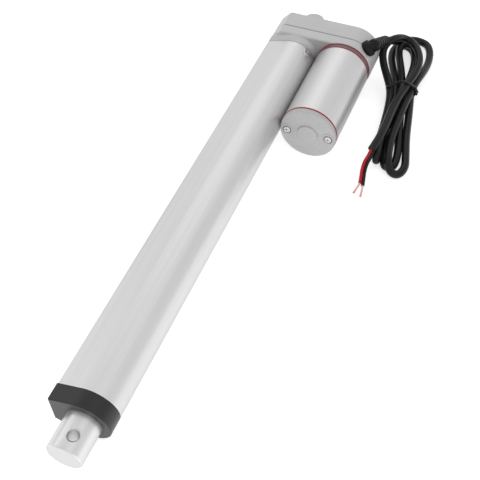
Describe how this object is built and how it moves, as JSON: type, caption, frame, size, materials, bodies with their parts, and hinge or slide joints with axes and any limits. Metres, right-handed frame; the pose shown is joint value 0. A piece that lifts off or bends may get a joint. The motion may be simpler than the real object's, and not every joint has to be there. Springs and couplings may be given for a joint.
{
  "type": "linear actuator",
  "caption": "Electric tube linear actuator with a side motor: a motor and gear train turn a screw that pushes a rod out of an aluminium tube.",
  "frame": {"origin": "centre of the rear pivot hole", "axes": "+X the way the rod extends, +Y from the tube's axis to the motor's axis, +Z along the rear pivot hole"},
  "size_m": [0.394, 0.1179, 0.0391],
  "materials": {
    "tube_aluminium": "satin clear anodised, fine bead blast",
    "rod_steel": "satin polished",
    "cap_plastic": "fine moulded texture",
    "seal_rubber": "matt",
    "bush_plastic": "smooth acetal",
    "housing_cast": "fine sprayed grey over a casting",
    "gasket_dark": "matt",
    "screw_chrome": "bright plated",
    "steel_plain": "ground",
    "bronze": "sintered bronze",
    "gear_plastic": "moulded acetal",
    "gear_steel": "hobbed",
    "motor_silver": "satin silver paint",
    "motor_cap_cast": "speckled grey cast finish",
    "ring_red": "smooth",
    "adapter_dark": "dark satin",
    "magnet": "ferrite",
    "carbon": "carbon block",
    "copper": "enamelled copper",
    "board": "glass-fibre board",
    "cord_black": "soft sheen",
    "wire_red": "insulation"
  },
  "bodies": {
    "housing": {"outer_tube": "tube_aluminium", "front_cap": "cap_plastic", "rod_bush": "bush_plastic", "rod_wiper_seal": "seal_rubber", "limit_switch_strip": "board", "limit_switches": "cap_plastic", "tube_screws": "screw_chrome", "gearbox_front_housing": "housing_cast", "gearbox_gasket": "gasket_dark", "gearbox_rear_cover": "housing_cast", "gearbox_screws": "screw_chrome", "motor_mounting_screws": "steel_plain", "idler_axle": "steel_plain", "bearing_outer_ring": "steel_plain", "bearing_balls": "screw_chrome", "screw_rear_bush": "bronze", "motor_adapter": "adapter_dark", "motor_can": "motor_silver", "motor_end_cap": "motor_cap_cast", "motor_end_screws": "screw_chrome", "motor_end_ring": "ring_red", "motor_mount_rings": "ring_red", "motor_magnets": "magnet", "brush_holder": "bush_plastic", "motor_brushes": "carbon", "motor_front_bush": "bronze", "motor_end_bush": "bronze", "cord_boot": "cord_black", "cord_lead": "cord_black", "cord_hank": "cord_black", "hank_tie": "cord_black", "red_wire": "wire_red", "black_wire": "cord_black", "bare_wire_ends": "copper"},
    "rod": {"rod_tube": "rod_steel", "rod_end_plug": "rod_steel", "drive_nut": "bush_plastic"},
    "leadscrew": {"leadscrew": "steel_plain", "output_gear": "gear_plastic", "bearing_inner_ring": "steel_plain", "screw_tip_guide": "bush_plastic"},
    "idler": {"idler_gear": "gear_plastic"},
    "armature": {"motor_shaft": "steel_plain", "rotor_core": "steel_plain", "rotor_windings": "copper", "commutator": "copper", "motor_pinion": "gear_steel"}
  },
  "joints": [
    {"name": "rod_slide", "type": "slide", "parent": "housing", "child": "rod", "axis": [1, 0, 0], "range_m": [0, 0.25]},
    {"name": "screw_spin", "type": "hinge", "parent": "housing", "child": "leadscrew", "pos_m": [0.02, 0, 0], "axis": [1, 0, 0], "range_deg": [-30005, 0]},
    {"name": "idler_spin", "type": "hinge", "parent": "housing", "child": "idler", "pos_m": [0.02, 0.0184, 0], "axis": [1, 0, 0], "range_deg": [0, 68576.4]},
    {"name": "motor_spin", "type": "hinge", "parent": "housing", "child": "armature", "pos_m": [0.02, 0.034, 0], "axis": [1, 0, 0], "range_deg": [-228576.4, 0]}
  ],
  "couplings": [
    {"joint": "screw_spin", "follows": "rod_slide", "rad_per_m": -2094.4},
    {"joint": "idler_spin", "follows": "rod_slide", "rad_per_m": 4787.2},
    {"joint": "motor_spin", "follows": "rod_slide", "rad_per_m": -15957}
  ]
}
